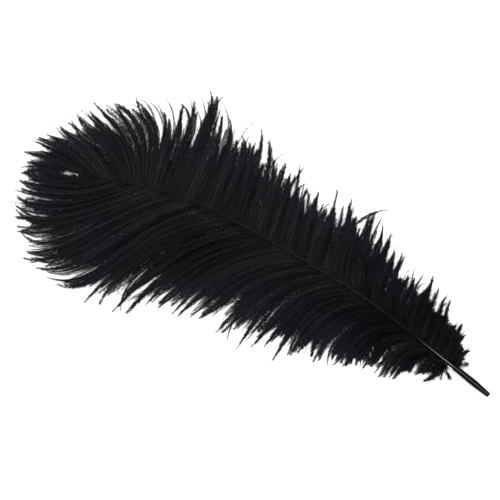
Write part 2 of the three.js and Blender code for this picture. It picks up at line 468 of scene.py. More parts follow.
@dataclass(frozen=True)
class DyedFibre:
    """Black-dyed feather fibre: matte keratin hair that catches a faint grey light.

    The eye gets single fibres that differ a little in depth of dye, broader patches where the dye
    took unevenly, some of them towards violet, and one lock whose ends have faded towards brown.
    The tone attribute also carries a painted sheen on the barbs' shafts and painted light and shade
    along the barbs.
    """

    name: str
    dark: str
    light: str
    roughness: float
    specular: float
    violet: str = "#1d1b26"
    violet_share: float = 0.55
    violet_reach: Pair = (0.2, 0.7)
    tint_mm: float = 60.0
    tint_noise: Pair = (0.4, 0.6)
    faded: str = "#4a3a33"
    faded_share: float = 0.2
    faded_at: Triple = (0.0, 0.0, 0.0)
    faded_radius: float = 0.012
    patch_mm: float = 45.0
    patch_noise: Pair = (0.3, 0.7)
    patch_depth: float = 0.2

    def material(self) -> Material:
        """Builds the material from the fibre's tone, its reach from the shaft and Object coordinates."""
        material, tree = new_material(self.name)
        tone, reach = (
            add_node(tree, "ShaderNodeAttribute", attribute_name=label).outputs["Fac"]
            for label in ("tone", "reach")
        )
        place = add_node(tree, "ShaderNodeTexCoord").outputs["Object"]
        patches = noise(tree, place, 1 / (self.patch_mm * MM))
        patch = ramp(tree, patches, self.patch_noise, (-self.patch_depth, self.patch_depth), smooth=False)
        # the tone holds the fibre's dye with its painted sheen and its painted light and shade
        depth = maths(tree, "ADD", tone, patch, use_clamp=True)
        dye = mixed(tree, depth, linear(self.dark), linear(self.light))
        tints = noise(tree, place, 1 / (self.tint_mm * MM), 3.0)
        patchy = ramp(tree, tints, self.tint_noise, (0.0, self.violet_share), smooth=False)
        outer = ramp(tree, reach, self.violet_reach, (0.0, 1.0), smooth=False)
        tinted = mixed(tree, maths(tree, "MULTIPLY", patchy, outer), dye, linear(self.violet))
        apart = add_node(tree, "ShaderNodeVectorMath", {0: place, 1: self.faded_at}, operation="DISTANCE")
        fading = ramp(tree, apart.outputs["Value"], (0.0, self.faded_radius), (self.faded_share, 0.0))
        finish_material(
            tree,
            {
                "Base Color": mixed(tree, fading, tinted, linear(self.faded)),
                "Roughness": self.roughness,
                "IOR": KERATIN_IOR,
                "Specular IOR Level": self.specular,
            },
        )
        return material


# ------------------------------------------------------------------------------------ the shaft
@dataclass
class Shaft:
    """The bare quill and the shaft that runs on from it, as one rod with a cut, hollow end."""

    line: ShaftLine
    rings: int = 300
    sides: int = 32
    groove_depth: float = 0.34
    groove_half_angle: float = 0.42
    groove_aside: float = 0.17
    knob_height: float = 0.45
    knob_length: float = 0.9
    bore_width: float = 2.4
    bore_depth: float = 5.0
    lip: float = 0.15
    shoulder_blend: Pair = (-4.0, 10.0)
    squareness: float = 0.25
    tip_length: float = 1.2
    pole_radius: float = 0.02

    def surface(self) -> tuple[Array, Array]:
        """Works out the rod's surface.

        A section is carried along the centreline. It is round on the quill. Past the shoulder it is
        lower than wide, with flatter sides and a groove on top, a share of a turn to the right of
        the middle, whose depth is a bell curve of the angle. At the cut end the surface turns in
        over a lip and runs back down a bore.

        Returns:
            The rings' points, rings by sides by three, and the UV pair for each point.
        """
        line = self.line
        share = np.linspace(0, 1, self.rings)
        lengths = np.concatenate([[0], np.cumsum(np.linalg.norm(np.diff(line.path, axis=0), axis=1))])
        along = share * lengths[-1]
        centre = np.stack([np.interp(along, lengths, line.path[:, k]) for k in range(3)], -1)
        tangent = unit(np.gradient(centre, axis=0))
        sideways = unit(np.cross([0.0, 0.0, 1.0], tangent))
        up = np.cross(tangent, sideways)
        width = line.width(centre[:, 0])
        past = smoothstep(line.shoulder_x - centre[:, 0], *self.shoulder_blend)
        depth = width * (1 + (line.depth_share - 1) * past)
        knob = self.knob_height * np.exp(-(((centre[:, 0] - line.shoulder_x) / self.knob_length) ** 2))
        angle = 2 * math.pi * np.arange(self.sides) / self.sides
        across, upward = np.cos(angle), np.sin(angle)
        square = 1 - self.squareness * past[:, None]
        flat_across, flat_upward = (np.sign(part) * np.abs(part) ** square for part in (across, upward))
        from_top = (angle - math.pi / 2 + math.pi) % (2 * math.pi) - math.pi
        from_groove = from_top + 2 * math.pi * self.groove_aside
        groove = np.exp(-((from_groove / self.groove_half_angle) ** 2))
        groove_here = self.groove_depth * past * np.minimum(width / line.shoulder_width, 1)
        beside = (width / 2 + knob)[:, None] * flat_across
        above = (depth / 2)[:, None] * flat_upward - groove_here[:, None] * groove
        outer = centre[:, None, :] + beside[..., None] * sideways[:, None, :]
        outer += above[..., None] * up[:, None, :]
        circle = across[:, None] * sideways[0] + upward[:, None] * up[0]
        bore_radius = self.bore_width / 2
        inner_rings = (
            (self.bore_depth, self.pole_radius),
            (self.bore_depth - 0.4, bore_radius * 0.8),
            (0.6, bore_radius),
            (0.05, bore_radius + self.lip),
            (-0.08, line.quill_end_width / 2 - self.lip),
        )
        inside = [centre[0] + tangent[0] * inward + circle * radius for inward, radius in inner_rings]
        tip_point = centre[-1] + tangent[-1] * self.tip_length + circle * self.pole_radius
        points = np.concatenate([np.array(inside), outer, tip_point[None]])
        v = np.concatenate([np.zeros(len(inside)), along, [along[-1]]]) * MM
        u = np.broadcast_to(angle / (2 * math.pi), (len(points), self.sides))
        return points, np.stack([u, np.broadcast_to(v[:, None], u.shape)], -1)

    def build(self, maker: PieceMaker, material: Material) -> Object:
        """Builds and dresses the rod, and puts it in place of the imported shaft.

        Args:
            maker: makes the mesh.
            material: the keratin finish.

        Returns:
            The finished piece.
        """
        points, uv = self.surface()
        count = points.shape[0]
        ring = np.arange(count - 1)[:, None] * self.sides
        side = np.arange(self.sides)
        after = (side + 1) % self.sides
        walls = np.stack([ring + side, ring + after, ring + after + self.sides, ring + side + self.sides], -1)
        caps = np.stack([side[::-1], side + (count - 1) * self.sides])
        piece = maker.make(
            "shaft_keratin", points.reshape(-1, 3), [walls.reshape(-1, 4), caps], {}, uv.reshape(-1, 2)
        )
        piece.data.materials.append(material)
        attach(piece, "root")
        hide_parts("shaft")
        return piece


# ------------------------------------------------------------------------------------ barbs
@dataclass
class BarbSet:
    """The barbs of one vane after combing: their paths and what each one carries.

    The tone is for the barbules, and the painted sheen, a lighter colour that stands in for gloss,
    is for the barb's own shaft. The fringe is a barb's share of the full barbule length, its
    bareness says how much shorter the barbules get towards its end, and its matting, how broad
    they are where they lie under the rest. The share of its length where the matting ends is in
    matted_to. The bare root is the share, from the shaft, without barbules.
    """

    paths: Array
    width: Array
    tone: Array
    painted_sheen: Array
    fringe: Array
    bareness: Array
    matting: Array
    matted_to: Array
    bare_root: Array

    def lengths(self) -> Array:
        """Gives each barb's length along its path."""
        return np.linalg.norm(np.diff(self.paths, axis=1), axis=2).sum(axis=1)

    def frames(self) -> tuple[Array, Array, Array]:
        """Gives the tangent, the sideways and the upward direction at each step of each barb."""
        tangent = unit(np.gradient(self.paths, axis=1))
        sideways = unit(np.cross(np.array([0.0, 0.0, 1.0]), tangent))
        return tangent, sideways, np.cross(tangent, sideways)


@dataclass(frozen=True)
class CombHabit:
    """How single barbs differ and cling together, the same on both sides of the shaft.

    A stray is a standard deviation. A pair is the ends of a range, but the strand's tone is a mean
    and a standard deviation, and the bareness is that of a bare barb and that of any other. Layers
    run from 0 at the bottom of the vane to 1 at the top.
    """

    spacing: Pair = (0.2, 0.8)
    barb_stray: float = 0.6
    loose_stray: float = 3.2
    loose_hold: float = 0.1
    loose_fringe: float = 0.6
    hold: Pair = (0.7, 1.0)
    held_layers: Pair = (0.0, 0.6)
    layer_stray: float = 0.06
    open_notches: Pair = (0.3, 0.5)
    open_stretch: float = 0.8
    bright_above: float = 0.35
    bright_lift: float = 0.6
    bright_width: float = 1.5
    # painted sheen: how much lighter the barbs' shafts are painted, in place of their gloss
    bright_painted_sheen: Pair = (0.6, 1.0)
    painted_sheen: Pair = (0.0, 0.4)
    strand_tone: Pair = (0.45, 0.25)
    tone_stray: float = 0.2
    fringe: Pair = (0.75, 1.1)
    bare_share: float = 0.5
    bareness: Pair = (0.85, 0.3)
    matted_layers: Pair = (0.25, 0.55)
    matted_share: float = 0.8


@dataclass(frozen=True)
class BarbuleHabit:
    """How barbules stand on their barb, the same on both sides of the shaft.

    Turns are in degrees and rolls in radians. A stray is a standard deviation. A pair is the ends of
    a range, or the shares of the barb's length between which something changes, but the bend is a
    mean and a standard deviation.
    """

    angle: float = 44.0
    closing_turn: float = 16.0
    splay_turn: float = 40.0
    matted_turn: float = 20.0
    bunch_turn: float = 12.0
    turn_stray: float = 6.0
    bend: Pair = (12.0, 5.0)
    roll_start: float = 0.5
    roll_change: float = 1.4
    roll_stray: float = 0.35
    matted_calm: float = 0.85
    droop_fades: Pair = (0.35, 0.85)
    droop_stray: float = 0.15
    matting_starts: Pair = (0.04, 0.14)
    matting_fade: float = 0.2
    short_by_shaft: float = 0.25
    full_from: float = 0.15
    end_thins: Pair = (0.7, 0.98)
    bunch_growth: float = 0.28
    matted_growth: float = 0.25
    length_range: Pair = (0.7, 1.15)
    width_range: Pair = (0.75, 1.2)
    knee_share: float = 0.4
    face_tilt: float = 0.4
    tone_stray: float = 0.08


@dataclass
class Vane:
    """One side's barbs, combed into strands and the strands into locks.

    A lock is (root x, tip x, tip y, notch): where its barbs leave the shaft, where its point lies and
    the share of the barbs' length left open between it and the next lock. A strand is a few barbs
    that cling together. The headings are rows of (root x, degrees where the barb leaves, degrees
    where it ends). A stray is a single barb that stands out past the locks: (root x, tip x, tip y,
    degrees where it ends, share of the full fringe).

    Barbs leave the shaft at root_aside of its width beside its middle and root_drop below it. The
    painted light and shade is rows of (share of a barb's length, how much lighter the fibres are
    painted there), lighter or darker for how each part of the vane faces the light, and
    quill_shade is added to it by the quill, where the fibres get darker. quill_matting and
    open_matting lengthen the matting there and shorten it where the locks stand open. No barbule
    goes below the lowest height.
    """

    side: Side
    node: str
    locks: tuple[tuple[float, float, float, float], ...]
    headings: tuple[Triple, ...]
    strays: tuple[tuple[float, float, float, float, float], ...]
    barb_spacing: float = 1.16
    barb_turn: Pair = (1.2, 2.5)
    strand_barbs: int = 4
    loose_share: float = 0.1
    steps: int = 21
    root_aside: float = 0.3
    root_drop: float = 0.0
    pull: Pair = (0.4, 0.3)
    gather_mm: float = 18.0
    gather_share: float = 0.32
    lock_gather: Pair = (0.1, 0.75)
    strand_stray: float = 1.7
    strand_turn: Pair = (3.5, 13.0)
    strand_shortening: float = 0.1
    barb_shortening: float = 0.06
    overreach: float = 1.03
    notch_power: float = 2.4
    strand_wave: float = 1.6
    barb_wave: float = 0.45
    stray_wave: float = 0.6
    barb_width: float = 0.34
    barb_tip_width: float = 0.14
    bright_share: float = 0.33
    fluff_height: float = 5.0
    barb_floor: float = 0.5
    barbule_length: float = 4.6
    barbules_per_mm: float = 1.72
    barbule_crowding: float = 0.85
    barbule_width: float = 0.36
    matted_width: float = 1.4
    barbule_droop: float = 0.4
    bunch_mm: Pair = (4.1, 2.3)
    bunch_range: Pair = (0.7, 1.6)
    splay_mm: float = 5.0
    lowest: float = 0.1
    root_fill: float = 0.05
    barbule_pieces: int = 4
    stray_fringes: Pair = (0.52, 0.78)
    stray_gap: float = 0.5
    # painted light and shade along the barbs: how much lighter the fibres are painted at each share
    painted_light_and_shade: tuple[Pair, ...] = ((0.0, 0.35), (0.45, 0.15), (1.0, 0.75))
    quill_shade: float = -0.6
    quill_matting: float = 0.18
    open_matting: float = 0.4
    quill_shade_x: Pair = (25.0, 130.0)
    habit: CombHabit = CombHabit()
    barbule_habit: BarbuleHabit = BarbuleHabit()

    def shading(self, root_x: Array, share: Array) -> Array:
        """Gives the painted light and shade at a share of a barb's length, darker near the quill."""
        shares, shifts = np.array(self.painted_light_and_shade).T
        return np.interp(share, shares, shifts) + self.quill_shade * smoothstep(root_x, *self.quill_shade_x)

    def corners(
        self, line: ShaftLine, root_x: Array, tip: Array, turn: Array
    ) -> tuple[Array, Array, Array, Array]:
        """Places the four control points of each barb's curve, seen from above.

        Args:
            line: the shaft's centreline.
            root_x: where each barb leaves the shaft.
            tip: where each barb would end, if it kept its full length.
            turn: degrees added to the heading at each end, two columns.

        Returns:
            The control points: root, root pulled along the first heading, tip pulled back along the
            last heading, tip.
        """
        rows = np.array(self.headings, float)
        direction = line.direction(root_x)
        outward = self.side.value * np.stack([direction[:, 1], -direction[:, 0]], -1)
        root = line.centre(root_x)[:, :2] + outward * (line.width(root_x) * self.root_aside)[:, None]
        reach = np.linalg.norm(tip - root, axis=1)[:, None]
        leaving = heading(table_at(rows, root_x, 1) + turn[:, 0]) * self.pull[0] * reach
        arriving = heading(table_at(rows, root_x, 2) + turn[:, 1]) * self.pull[1] * reach
        return root, root + leaving, tip - arriving, tip

    def curves(
        self, line: ShaftLine, position: Array, shortening: Array, stray: Array, turn: Array
    ) -> Array:
        """Works out barbs' curves, seen from above, from where they stand in the row of locks.

        A barb at lock number p ends on the straight line between the points of the two nearest
        locks. It stops short by the notch times a power of twice the distance to the nearest lock.

        Args:
            line: the shaft's centreline.
            position: each barb's place as a number of locks, counted from the quill.
            shortening: the share of the length that each barb loses.
            stray: how far each end strays, in millimetres, two columns.
            turn: degrees added to the heading at each end, two columns.

        Returns:
            An array of barbs by steps by two coordinates.
        """
        locks = np.array(self.locks, float)
        numbers = np.arange(len(locks))
        root_x, tip_x, tip_y = (np.interp(position, numbers, locks[:, k]) for k in range(3))
        nearest = np.rint(position).astype(int)
        beside = position - nearest
        notch = locks[np.maximum(np.where(beside > 0, nearest, nearest - 1), 0), 3]
        reach = self.overreach - notch * np.abs(2 * beside) ** self.notch_power - shortening
        tip = np.stack([tip_x, tip_y], -1) + stray
        return bezier(self.corners(line, root_x, tip, turn), reach[:, None] * np.linspace(0, 1, self.steps))

    def comb(self, line: ShaftLine, rng: np.random.Generator) -> BarbSet:
        """Combs the vane: places every barb, gathers barbs into strands and strands into locks.

        The barbs are spaced evenly by the mean of how far apart their roots and their ends are. A
        barb follows its own free curve at first. Over its last stretch it moves over to the curve
        at the middle of its strand, and the strand moves part of the way over to its lock's curve. A
        loose barb keeps to its own curve, and so, mostly, does one in the vane's under layer, which
        is matted and fills the gaps between the strands.

        A strand's layer is its number times the golden share, less the whole part, so neighbours lie
        far apart in the vane's thickness. Some of the higher barbs are bright: they lie on top,
        thicker, with more painted sheen in place of gloss. Where the notch between locks is deep,
        the vane is open: the under layer gathers too, over a longer stretch, and its matting ends
        sooner.

        Args:
            line: the shaft's centreline.
            rng: seeded random numbers.

        Returns:
            The combed barbs.
        """
        habit = self.habit
        locks = np.array(self.locks, float)
        numbers = np.arange(len(locks))
        spread = np.abs(np.diff(locks[:, 0])) + np.linalg.norm(np.diff(locks[:, 1:3], axis=0), axis=1)
        reached = np.concatenate([[0], np.cumsum(spread)]) / 2
        count = int(reached[-1] / self.barb_spacing)
        even = (np.arange(count) + rng.uniform(*habit.spacing, count)) / count
        position = np.interp(even * reached[-1], reached, numbers)
        strand = np.repeat(np.arange(count), rng.integers(1, self.strand_barbs + 1, count))[:count]
        strands = strand[-1] + 1
        middle = (np.bincount(strand, position) / np.bincount(strand))[strand]
        loose = rng.uniform(0, 1, count) < self.loose_share
        shortening = self.strand_shortening * rng.uniform(0, 1, strands)[strand] ** 2
        shortening += self.barb_shortening * rng.uniform(0, 1, count) ** 1.5

        stray = rng.normal(0, 1, (count, 2)) * np.where(loose, habit.loose_stray, habit.barb_stray)[:, None]
        turn = rng.normal(0, 1, (count, 2)) * self.barb_turn
        free = self.curves(line, position, shortening, stray, turn)
        stray = rng.normal(0, self.strand_stray, (strands, 2))[strand]
        turn = (rng.normal(0, 1, (strands, 2)) * self.strand_turn)[strand]
        held = self.curves(line, middle, shortening, stray, turn)
        calm = np.zeros((count, 2))
        locked = self.curves(line, np.rint(middle), shortening, calm, calm)

        layer = np.clip(strand * GOLDEN_SHARE % 1 + rng.normal(0, habit.layer_stray, count), 0, 1)
        chance = self.bright_share / (1 - habit.bright_above)
        bright = (layer > habit.bright_above) & (rng.uniform(0, 1, count) < chance)
        layer = np.where(bright, habit.bright_lift + (1 - habit.bright_lift) * layer, layer)
        openness = smoothstep(np.interp(position, numbers, locks[:, 3]), *habit.open_notches)
        hold = rng.uniform(*habit.hold, count) * smoothstep(layer + openness, *habit.held_layers)
        hold = np.where(loose, habit.loose_hold, hold)
        length = np.linalg.norm(np.diff(free, axis=1), axis=2).sum(axis=1)
        to_end = length[:, None] * np.linspace(1, 0, self.steps)
        stretch = np.minimum(length * self.gather_share, self.gather_mm) * (1 + habit.open_stretch * openness)
        gathering = 1 - smoothstep(to_end / stretch[:, None], 0, 1)
        to_lock = rng.uniform(*self.lock_gather, strands)[strand][:, None] * gathering
        held += to_lock[..., None] * (locked - held)
        held += self.wave(held, strand, self.strand_wave, rng)
        flat = free + (hold[:, None] * gathering)[..., None] * (held - free)
        flat += self.wave(flat, np.arange(count), self.barb_wave, rng)
        tone = rng.normal(*habit.strand_tone, strands)[strand] + rng.normal(0, habit.tone_stray, count)
        by_quill = smoothstep(flat[:, 0, 0], *self.quill_shade_x)
        combed = BarbSet(
            paths=self.lift(line, flat, layer),
            width=self.barb_width * np.where(bright, habit.bright_width, 1.0),
            tone=np.clip(tone, 0, 1),
            painted_sheen=np.where(bright, rng.uniform(*habit.bright_painted_sheen, count), rng.uniform(*habit.painted_sheen, count)),
            fringe=rng.uniform(*habit.fringe, count) * np.where(loose, habit.loose_fringe, 1.0),
            bareness=np.where(rng.uniform(0, 1, count) < habit.bare_share, *habit.bareness),
            matting=1 - smoothstep(layer, *habit.matted_layers),
            matted_to=habit.matted_share + self.quill_matting * by_quill - self.open_matting * openness,
            bare_root=np.zeros(count),
        )
        return self.join(combed, self.comb_strays(line, rng))

    @staticmethod
    def wave(
        flat: Array,
        group: Array,
        size: float,
        rng: np.random.Generator,
        turns: Pair = (0.6, 1.8),
    ) -> Array:
        """Gives barbs a slow sideways wave, the same for all the barbs of a group.

        The offset is a sine along the barb, times the square of the share of its length.

        Args:
            flat: the paths seen from above.
            group: each barb's group number, rising from 0.
            size: how far the wave swings, in millimetres, as a standard deviation.
            rng: seeded random numbers.
            turns: the fewest and the most waves along a barb.

        Returns:
            The offset at each step of each barb.
        """
        groups = group[-1] + 1
        grid = np.linspace(0, 1, flat.shape[1])
        swing = rng.normal(0, size, groups)[group][:, None]
        waves = rng.uniform(*turns, groups)[group][:, None]
        start = rng.uniform(0, 1, groups)[group][:, None]
        ahead = unit(np.gradient(flat, axis=1))
        across = np.stack([-ahead[..., 1], ahead[..., 0]], -1)
        offset = swing * grid**2 * np.sin(2 * math.pi * (waves * grid + start))
        return across * offset[..., None]

    def lift(self, line: ShaftLine, flat: Array, layer: Array) -> Array:
        """Adds height: a barb leaves near the shaft's height, bows and droops to rest by the floor.

        The lower a barb's layer, the nearer to the shaft it gets down, and the lower it rests. The
        bow is a half sine, upward for the higher layers and downward for the lowest.

        Args:
            line: the shaft's centreline.
            flat: the paths seen from above.
            layer: each barb's place in the vane's thickness, from 0 at the bottom to 1 at the top.

        Returns:
            Paths with three coordinates.
        """
        grid = np.linspace(0, 1, flat.shape[1])
        level = layer[:, None]
        root_z = line.centre(flat[:, 0, 0])[:, 2][:, None] - self.root_drop
        droop_from, droop_over = 0.1 * level, 0.35 + 0.4 * level
        droop = 1 - smoothstep((grid - droop_from) / droop_over, 0, 1)
        rest = 0.7 + 2.2 * level
        unbowed_layer = 0.35
        half_sine = np.sin(math.pi * np.minimum(grid * 1.15, 1)) ** 0.8
        bow = self.fluff_height * (level - unbowed_layer) * half_sine
        height = root_z * droop + rest * (1 - droop) + bow
        return np.concatenate([flat, np.maximum(height, self.barb_floor)[..., None]], axis=2)

    def comb_strays(self, line: ShaftLine, rng: np.random.Generator) -> BarbSet:
        """Makes the strays: thin strands that stand out past the locks and curl to their own headings.

        A stray is a single barb, or two or three that cling together where its fringe is fuller. The
        fuller the fringe, the thicker the barbs and the nearer to their ends the barbules reach.

        Args:
            line: the shaft's centreline.
            rng: seeded random numbers.

        Returns:
            The strays.
        """
        rows = np.array(self.strays, float)
        group = np.repeat(np.arange(len(rows)), 1 + (rows[:, 4:] >= self.stray_fringes).sum(axis=1))
        behind = np.arange(len(group)) - np.searchsorted(group, group)
        root_x, tip_x, tip_y, end_heading, fringe = rows[group].T
        count = len(root_x)
        usual = table_at(np.array(self.headings, float), root_x, 2)
        turn = np.stack([np.zeros(count), end_heading - usual], -1)
        apart = rng.normal(0, self.stray_gap, (count, 2)) * (behind > 0)[:, None]
        tip = np.stack([tip_x, tip_y], -1) + apart
        along = (1 - self.barb_shortening * behind)[:, None] * np.linspace(0, 1, self.steps)
        flat = bezier(self.corners(line, root_x, tip, turn), along)
        flat += self.wave(flat, group, self.stray_wave, rng)
        return BarbSet(
            paths=self.lift(line, flat, rng.uniform(0.3, 1, count)),
            width=self.barb_width * (1.1 + 0.3 * fringe),
            tone=rng.uniform(0.2, 0.6, count),
            painted_sheen=rng.uniform(0.0, 0.3, count),
            fringe=fringe + 0.1,
            bareness=np.clip(1.2 - fringe, 0.3, 0.95),
            matting=np.zeros(count),
            matted_to=np.zeros(count),
            bare_root=np.where(behind > 0, 0.5, 0.0),
        )

    @staticmethod
    def join(first: BarbSet, second: BarbSet) -> BarbSet:
        """Puts two sets of barbs together."""
        pairs = ((getattr(first, entry.name), getattr(second, entry.name)) for entry in fields(BarbSet))
        return BarbSet(*(np.concatenate(pair) for pair in pairs))

    def build_barbs(self, maker: PieceMaker, barbs: BarbSet, material: Material) -> Object:
        """Builds the barbs' own shafts as thin three-sided tubes that end in a point.

        A tube follows every second step of its barb. Its painted sheen fades past the barb's middle,
        and the vane's painted light and shade is added to it.

        Args:
            maker: makes the mesh.
            barbs: the combed barbs.
            material: the fibre finish.

        Returns:
            The finished piece.
        """
        path, sideways, up = (values[:, ::2] for values in (barbs.paths, *barbs.frames()[1:]))
        count, steps = path.shape[:2]
        taper = np.linspace(1, self.barb_tip_width / self.barb_width, steps)
        radius = barbs.width[:, None] / 2 * taper
        sides = 3
        side = np.arange(sides)
        after = (side + 1) % sides
        angle = 2 * math.pi * side / sides + math.pi / 2
        beside = np.cos(angle)[:, None] * sideways[:, :, None, :]
        above = np.sin(angle)[:, None] * up[:, :, None, :]
        rings = path[:, :, None, :] + radius[..., None, None] * (beside + above)
        poles = 2 * barbs.paths[:, -1] - barbs.paths[:, -2]
        points = np.concatenate([rings.reshape(count, -1, 3), poles[:, None, :]], axis=1)
        ring = np.arange(steps - 1)[:, None] * sides
        walls = np.stack([ring + side, ring + after, ring + after + sides, ring + side + sides], -1)
        walls = walls.reshape(-1, 4)
        last = (steps - 1) * sides
        to_pole = np.stack([last + side, last + after, np.full(sides, last + sides)], -1)
        ends = np.concatenate([side[None, ::-1], to_pole])
        start = (np.arange(count) * points.shape[1])[:, None, None]
        reach = np.linspace(0, 1, points.shape[1])
        # the painted sheen fades past the barb's middle, then the painted light and shade is added
        dulling = 0.9 * smoothstep(reach, 0.45, 0.85)
        tone = barbs.painted_sheen[:, None] * (1 - dulling)
        tone = tone + self.shading(barbs.paths[:, :1, 0], reach)
        piece = maker.make(
            f"barbs_{self.side.name.lower()}",
            points.reshape(-1, 3),
            [(start + walls).reshape(-1, 4), (start + ends).reshape(-1, 3)],
            {"tone": tone, "reach": np.tile(reach, count)},
        )
        return self.dress(piece, material)

    def build_barbules(
        self, maker: PieceMaker, barbs: BarbSet, rng: np.random.Generator, material: Material
    ) -> list[Object]:
        """Builds the vane's barbules in pieces, from the quill to the tip, with as much barb to each.

        Args:
            maker: makes the meshes.
            barbs: the combed barbs.
            rng: seeded random numbers.
            material: the fibre finish.

        Returns:
            The finished pieces.
        """
        order = np.argsort(-barbs.paths[:, 0, 0])
        done = np.cumsum(barbs.lengths()[order])
        number = np.minimum(done / done[-1] * self.barbule_pieces, self.barbule_pieces - 1).astype(int)
        return [
            self.barbule_piece(maker, barbs, order[number == piece], piece, rng, material)
            for piece in range(self.barbule_pieces)
        ]

    def spread_barbules(
        self, barbs: BarbSet, chosen: Array, rng: np.random.Generator
    ) -> tuple[Array, Array, Array]:
        """Spreads barbules along some barbs, with a few more close by the shaft.

        Args:
            barbs: all the vane's barbs.
            chosen: the numbers of the barbs that get barbules.
            rng: seeded random numbers.

        Returns:
            For each barbule its barb's number, its share of the barb's length, and which of the
            barb's two rows it stands in, 0 or 1.
        """
        lengths = barbs.lengths()
        fewest = 4
        fringed = lengths[chosen] * (1 - barbs.bare_root[chosen])
        each = np.maximum((fringed * self.barbules_per_mm).astype(int), fewest) * BARBULE_ROWS
        barb = np.repeat(chosen, each)
        order = np.arange(barb.size) - np.repeat(np.cumsum(each) - each, each)
        share = ((order + rng.uniform(0, 1, barb.size)) / np.repeat(each, each)) ** self.barbule_crowding
        by_shaft = rng.uniform(0, 1, barb.size) < self.root_fill
        share = np.where(by_shaft, rng.uniform(0, self.splay_mm, barb.size) / lengths[barb], share)
        return barb, barbs.bare_root[barb] + (1 - barbs.bare_root[barb]) * share, order % BARBULE_ROWS

    @staticmethod
    def blade_faces(volume: Array) -> Array:
        """Gives the triangles of four-cornered blades, wound so that they all face outward.

        Args:
            volume: each blade's volume, whose sign says which way round its corners lie.

        Returns:
            Vertex numbers, one row of three to a triangle.
        """
        blade = np.array([[0, 2, 1], [0, 1, 3], [0, 3, 2], [1, 2, 3]])
        winding = np.where(volume[:, None, None] > 0, blade, blade[:, ::-1])
        return ((np.arange(len(volume)) * len(blade))[:, None, None] + winding).reshape(-1, 3)

    def barbule_piece(
        self,
        maker: PieceMaker,
        barbs: BarbSet,
        chosen: Array,
        number: int,
        rng: np.random.Generator,
        material: Material,
    ) -> Object:
        """Builds the barbules of some barbs as one piece of thin closed blades.

        A barbule leaves its barb at an angle that is wide by the shaft and closes towards the tip, in
        a plane that rolls slowly along the barb and droops near the shaft. The angle and the length
        rise and fall along the barb as a sum of two sines, because barbules cling to each other in
        little bunches. Matted barbules are broad, flat and a little longer, and stand out further. A
        barbule is a blade of four corners: its root, two corners beside its knee, and its end, which
        is turned further along the barb. None of them goes below the vane's lowest height.

        Args:
            maker: makes the mesh.
            barbs: all the vane's barbs.
            chosen: the numbers of the barbs that this piece covers.
            number: the piece's place in the row, counted from the quill.
            rng: seeded random numbers.
            material: the fibre finish.

        Returns:
            The finished piece.
        """
        habit = self.barbule_habit
        tangent, sideways, up = barbs.frames()
        barb, share, hand = self.spread_barbules(barbs, chosen, rng)
        just_inside = 0.001
        step = np.minimum(share * (self.steps - 1), self.steps - 1 - just_inside)
        low = step.astype(int)
        part = (step - low)[:, None]

        def sample(values: Array) -> Array:
            """Reads an array of the barbs' steps at each barbule's root."""
            return values[barb, low] * (1 - part) + values[barb, low + 1] * part

        root = sample(barbs.paths)
        ahead, out, over = (unit(sample(values)) for values in (tangent, sideways, up))
        roll_start = rng.normal(0, habit.roll_start, len(barbs.paths))[barb]
        roll_change = rng.normal(0, habit.roll_change, len(barbs.paths))[barb]
        lively = 1 - habit.matted_calm * barbs.matting[barb]
        roll = (roll_start + roll_change * share) * lively + rng.normal(0, habit.roll_stray, barb.size)
        sign = np.where(hand == 0, 1.0, -1.0)
        level = sign[:, None] * (np.cos(roll)[:, None] * out + np.sin(roll)[:, None] * over)
        droop = self.barbule_droop * (1 - smoothstep(share, *habit.droop_fades))
        droop += rng.normal(0, habit.droop_stray, barb.size)
        level = unit(level - droop[:, None] * over)
        distance = share * barbs.lengths()[barb]
        sines = len(self.bunch_mm)
        phase = rng.uniform(0, 1, (len(barbs.paths), BARBULE_ROWS, sines))[barb, hand]
        pace = rng.uniform(*self.bunch_range, (len(barbs.paths), sines))[barb] * self.bunch_mm
        bunch = np.sin(2 * math.pi * (distance[:, None] / pace + phase)).sum(axis=1) / 2 * lively
        splay = np.exp(-distance / self.splay_mm)
        turn = rng.normal(0, habit.turn_stray, barb.size) * (1 + 2 * splay)
        thinning = smoothstep(share - barbs.matted_to[barb], -habit.matting_fade, 0)
        matted = barbs.matting[barb] * smoothstep(share, *habit.matting_starts) * (1 - thinning)
        angle = habit.angle - habit.closing_turn * share + habit.splay_turn * splay
        angle = angle + habit.matted_turn * matted + habit.bunch_turn * bunch + turn
        angle = np.radians(angle)[:, None]
        usual_bend, bend_stray = habit.bend
        bend = np.radians(usual_bend + rng.normal(0, bend_stray, barb.size))[:, None]
        first = np.cos(angle) * ahead + np.sin(angle) * level
        second = np.cos(angle - bend) * ahead + np.sin(angle - bend) * level
        profile = 1 - habit.short_by_shaft * (1 - smoothstep(share, 0, habit.full_from))
        profile *= 1 - barbs.bareness[barb] * smoothstep(share, *habit.end_thins)
        length = self.barbule_length * profile * barbs.fringe[barb] * (1 + habit.bunch_growth * bunch)
        length *= rng.uniform(*habit.length_range, barb.size) * (1 + habit.matted_growth * matted)
        knee = root + first * (habit.knee_share * length)[:, None]
        end = knee + second * ((1 - habit.knee_share) * length)[:, None]
        across = unit(np.cross(end - root, over + habit.face_tilt * level))
        width = self.barbule_width * rng.uniform(*habit.width_range, barb.size)
        half = (width + (self.matted_width - width) * matted)[:, None] / 2
        points = np.stack([root, knee - half * across, knee + half * across, end], axis=1)
        points[..., 2] = np.maximum(points[..., 2], self.lowest)
        volume = np.einsum("ij,ij->i", points[:, 1] - root, np.cross(points[:, 2] - root, end - root))
        tone = np.clip(barbs.tone[barb] + rng.normal(0, habit.tone_stray, barb.size), 0, 1)
